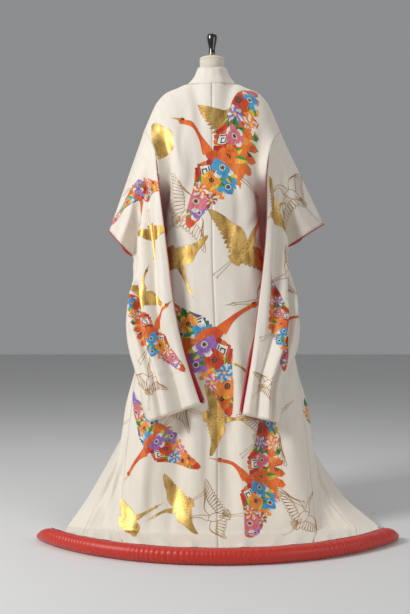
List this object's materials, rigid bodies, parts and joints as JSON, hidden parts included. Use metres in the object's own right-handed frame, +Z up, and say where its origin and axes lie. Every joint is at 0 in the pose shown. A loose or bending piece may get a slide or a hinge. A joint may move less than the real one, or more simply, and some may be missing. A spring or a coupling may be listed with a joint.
{
  "type": "wedding over-robe on a limbless dress form",
  "caption": "Long-sleeved silk wedding over-robe with a padded trailing hem, worn open on a limbless dress form with a turned knob and a round stand.",
  "frame": {"origin": "centre of the stand's base on the floor", "axes": "+Z up; the robe's back faces -Y; the wearer's right sleeve is at +X"},
  "size_m": [1.173, 0.9619, 1.7505],
  "materials": {
    "ivory_silk": "soft satin silk",
    "red_silk": "bright satin silk",
    "cream_jersey": "matt jersey",
    "brass": "aged",
    "black_lacquer": "gloss",
    "grey_metal": "semi-gloss"
  },
  "bodies": {
    "root": {"back_left": "ivory_silk", "back_right": "ivory_silk", "front_left": "ivory_silk", "front_right": "ivory_silk", "overlap_left": "ivory_silk", "overlap_right": "ivory_silk", "collar": "ivory_silk", "sleeve_left": "ivory_silk", "sleeve_right": "ivory_silk", "lining_back_left": "red_silk", "lining_back_right": "red_silk", "lining_front_left": "red_silk", "lining_front_right": "red_silk", "sleeve_lining_left": "red_silk", "sleeve_lining_right": "red_silk", "padded_hem": "red_silk", "form_torso": "cream_jersey", "form_neck_cap": "cream_jersey", "form_flange": "brass", "form_knob": "black_lacquer", "form_pole": "grey_metal", "form_base": "grey_metal"}
  },
  "joints": []
}
